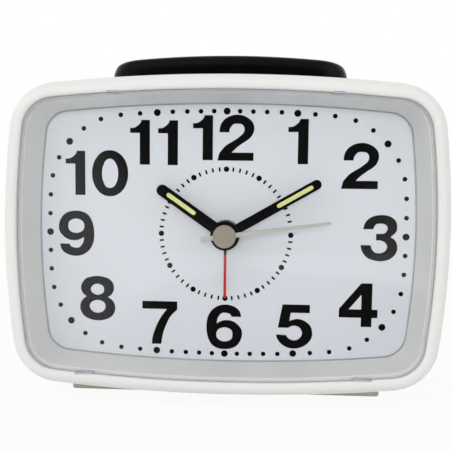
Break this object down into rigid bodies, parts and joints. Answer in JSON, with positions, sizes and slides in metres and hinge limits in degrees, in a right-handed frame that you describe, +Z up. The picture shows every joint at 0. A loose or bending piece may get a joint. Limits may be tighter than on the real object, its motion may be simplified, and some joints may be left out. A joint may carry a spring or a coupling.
{
  "type": "analog alarm clock",
  "caption": "Free-standing bedside alarm clock: white rounded-rectangular case on a low plinth, domed clear lens over a pale dial with hands, black press bar on top, knobs behind.",
  "frame": {"origin": "centre of the overall box at the level of the base's underside", "axes": "+X to the right seen from the front, +Y to the rear, +Z up; the dial faces -Y"},
  "size_m": [0.13, 0.0616, 0.1054],
  "materials": {
    "case_white": "moulded white, satin gloss",
    "plinth_white": "moulded off-white, fine grain",
    "cover_white": "moulded white, fine grain",
    "lens_clear": "clear moulded acrylic",
    "dial_silver": "pale silver-white lacquer with black print",
    "carrier_grey": "dark moulded frame",
    "bar_black": "polished black",
    "knob_black": "satin black",
    "hand_black": "satin black lacquer",
    "hand_grey": "warm grey lacquer",
    "hand_red": "red lacquer",
    "lume": "luminous paint, pale green-yellow",
    "gear_white": "natural moulded plastic",
    "gear_ivory": "natural moulded plastic",
    "brass": "stamped",
    "movement_pale": "moulded, plain",
    "steel": "bright zinc",
    "iron": "dull nickel-iron sheet",
    "magnet": "sintered",
    "bobbin_green": "moulded",
    "board_green": "coated laminate",
    "copper": "enamelled wire",
    "chip_black": "potting resin",
    "can_nickel": "nickel plated can",
    "battery_wrap": "plain printed sleeve",
    "wire": "soft insulation",
    "ceramic_white": "fired, silvered",
    "foam_black": "soft ring"
  },
  "bodies": {
    "case": {"front_case": "case_white", "lens": "lens_clear", "dial_plate": "dial_silver", "dial_carrier": "carrier_grey", "base_plinth": "plinth_white", "rear_cover": "cover_white", "case_screws": "steel", "snooze_springs": "steel", "snooze_contact": "brass", "movement_frame": "movement_pale", "movement_bridge": "movement_pale", "movement_cover": "movement_pale", "movement_screws": "steel", "stator": "iron", "coil_core": "iron", "coil_bobbin": "bobbin_green", "coil_winding": "copper", "circuit_board": "board_green", "chip": "chip_black", "quartz_crystal": "can_nickel", "alarm_contact": "brass", "battery": "battery_wrap", "contact_plus": "steel", "contact_minus": "steel", "contact_spring": "steel", "battery_leads": "wire", "buzzer_disc": "brass", "buzzer_ceramic": "ceramic_white", "buzzer_ring": "foam_black", "buzzer_leads": "wire"},
    "snooze": {"snooze_bar": "bar_black", "snooze_clips": "steel"},
    "seconds": {"seconds_wheel": "gear_white", "second_hand": "hand_grey"},
    "third": {"third_wheel": "gear_white"},
    "center": {"center_wheel": "brass"},
    "intermediate": {"intermediate_wheel": "gear_white"},
    "rotor": {"rotor": "gear_white", "rotor_magnet": "magnet"},
    "minutes": {"minute_pipe": "gear_white", "minute_hand": "hand_black", "minute_lume": "lume"},
    "minute_wheel": {"minute_wheel": "gear_white"},
    "hours": {"hour_wheel": "gear_white", "hour_hand": "hand_black", "hour_lume": "lume"},
    "time_setter": {"time_set_shaft": "gear_white", "time_set_knob": "knob_black"},
    "alarm": {"alarm_wheel": "gear_ivory", "alarm_hand": "hand_red"},
    "alarm_setter": {"alarm_set_shaft": "gear_white", "alarm_set_knob": "knob_black"},
    "switch": {"alarm_switch": "knob_black"},
    "door": {"battery_door": "cover_white"}
  },
  "joints": [
    {"name": "seconds_spin", "type": "hinge", "parent": "case", "child": "seconds", "pos_m": [0, 0, 0.04975], "axis": [0, 1, 0], "continuous": true},
    {"name": "third_spin", "type": "hinge", "parent": "case", "child": "third", "pos_m": [-0.00928, 0, 0.05511], "axis": [0, 1, 0], "continuous": true},
    {"name": "center_spin", "type": "hinge", "parent": "case", "child": "center", "pos_m": [0, 0, 0.04975], "axis": [0, 1, 0], "continuous": true},
    {"name": "intermediate_spin", "type": "hinge", "parent": "case", "child": "intermediate", "pos_m": [0.00827, 0, 0.05669], "axis": [0, 1, 0], "continuous": true},
    {"name": "rotor_spin", "type": "hinge", "parent": "case", "child": "rotor", "pos_m": [0.01861, 0, 0.05852], "axis": [0, 1, 0], "continuous": true},
    {"name": "time_set_turn", "type": "hinge", "parent": "case", "child": "time_setter", "pos_m": [-0.0177, 0, 0.04242], "axis": [0, 1, 0], "continuous": true},
    {"name": "minutes_turn", "type": "hinge", "parent": "case", "child": "minutes", "pos_m": [0, 0, 0.04975], "axis": [0, 1, 0], "continuous": true},
    {"name": "minute_wheel_turn", "type": "hinge", "parent": "case", "child": "minute_wheel", "pos_m": [-0.00694, 0, 0.04148], "axis": [0, 1, 0], "continuous": true},
    {"name": "hours_turn", "type": "hinge", "parent": "case", "child": "hours", "pos_m": [0, 0, 0.04975], "axis": [0, 1, 0], "continuous": true},
    {"name": "alarm_set_turn", "type": "hinge", "parent": "case", "child": "alarm_setter", "pos_m": [0.01364, 0, 0.04188], "axis": [0, 1, 0], "continuous": true},
    {"name": "alarm_turn", "type": "hinge", "parent": "case", "child": "alarm", "pos_m": [0, 0, 0.04975], "axis": [0, 1, 0], "continuous": true},
    {"name": "snooze_press", "type": "slide", "parent": "case", "child": "snooze", "axis": [0, 0, -1], "range_m": [0, 0.002], "stiffness_N_per_m": 300, "springref_m": -0.003, "deforming": ["snooze_springs", "snooze_contact"]},
    {"name": "alarm_switch_slide", "type": "slide", "parent": "case", "child": "switch", "axis": [1, 0, 0], "range_m": [0, 0.004]},
    {"name": "battery_door_open", "type": "hinge", "parent": "case", "child": "door", "pos_m": [0, 0.0239, 0.0105], "axis": [-1, 0, 0], "range_deg": [0, 80]}
  ],
  "couplings": [
    {"joint": "third_spin", "follows": "seconds_spin", "ratio": -0.13333},
    {"joint": "center_spin", "follows": "seconds_spin", "ratio": 0.016667},
    {"joint": "intermediate_spin", "follows": "seconds_spin", "ratio": -5},
    {"joint": "rotor_spin", "follows": "seconds_spin", "ratio": 30},
    {"joint": "minutes_turn", "follows": "time_set_turn", "ratio": 1},
    {"joint": "minute_wheel_turn", "follows": "time_set_turn", "ratio": -0.33333},
    {"joint": "hours_turn", "follows": "time_set_turn", "ratio": 0.083333},
    {"joint": "alarm_turn", "follows": "alarm_set_turn", "ratio": -0.25}
  ]
}
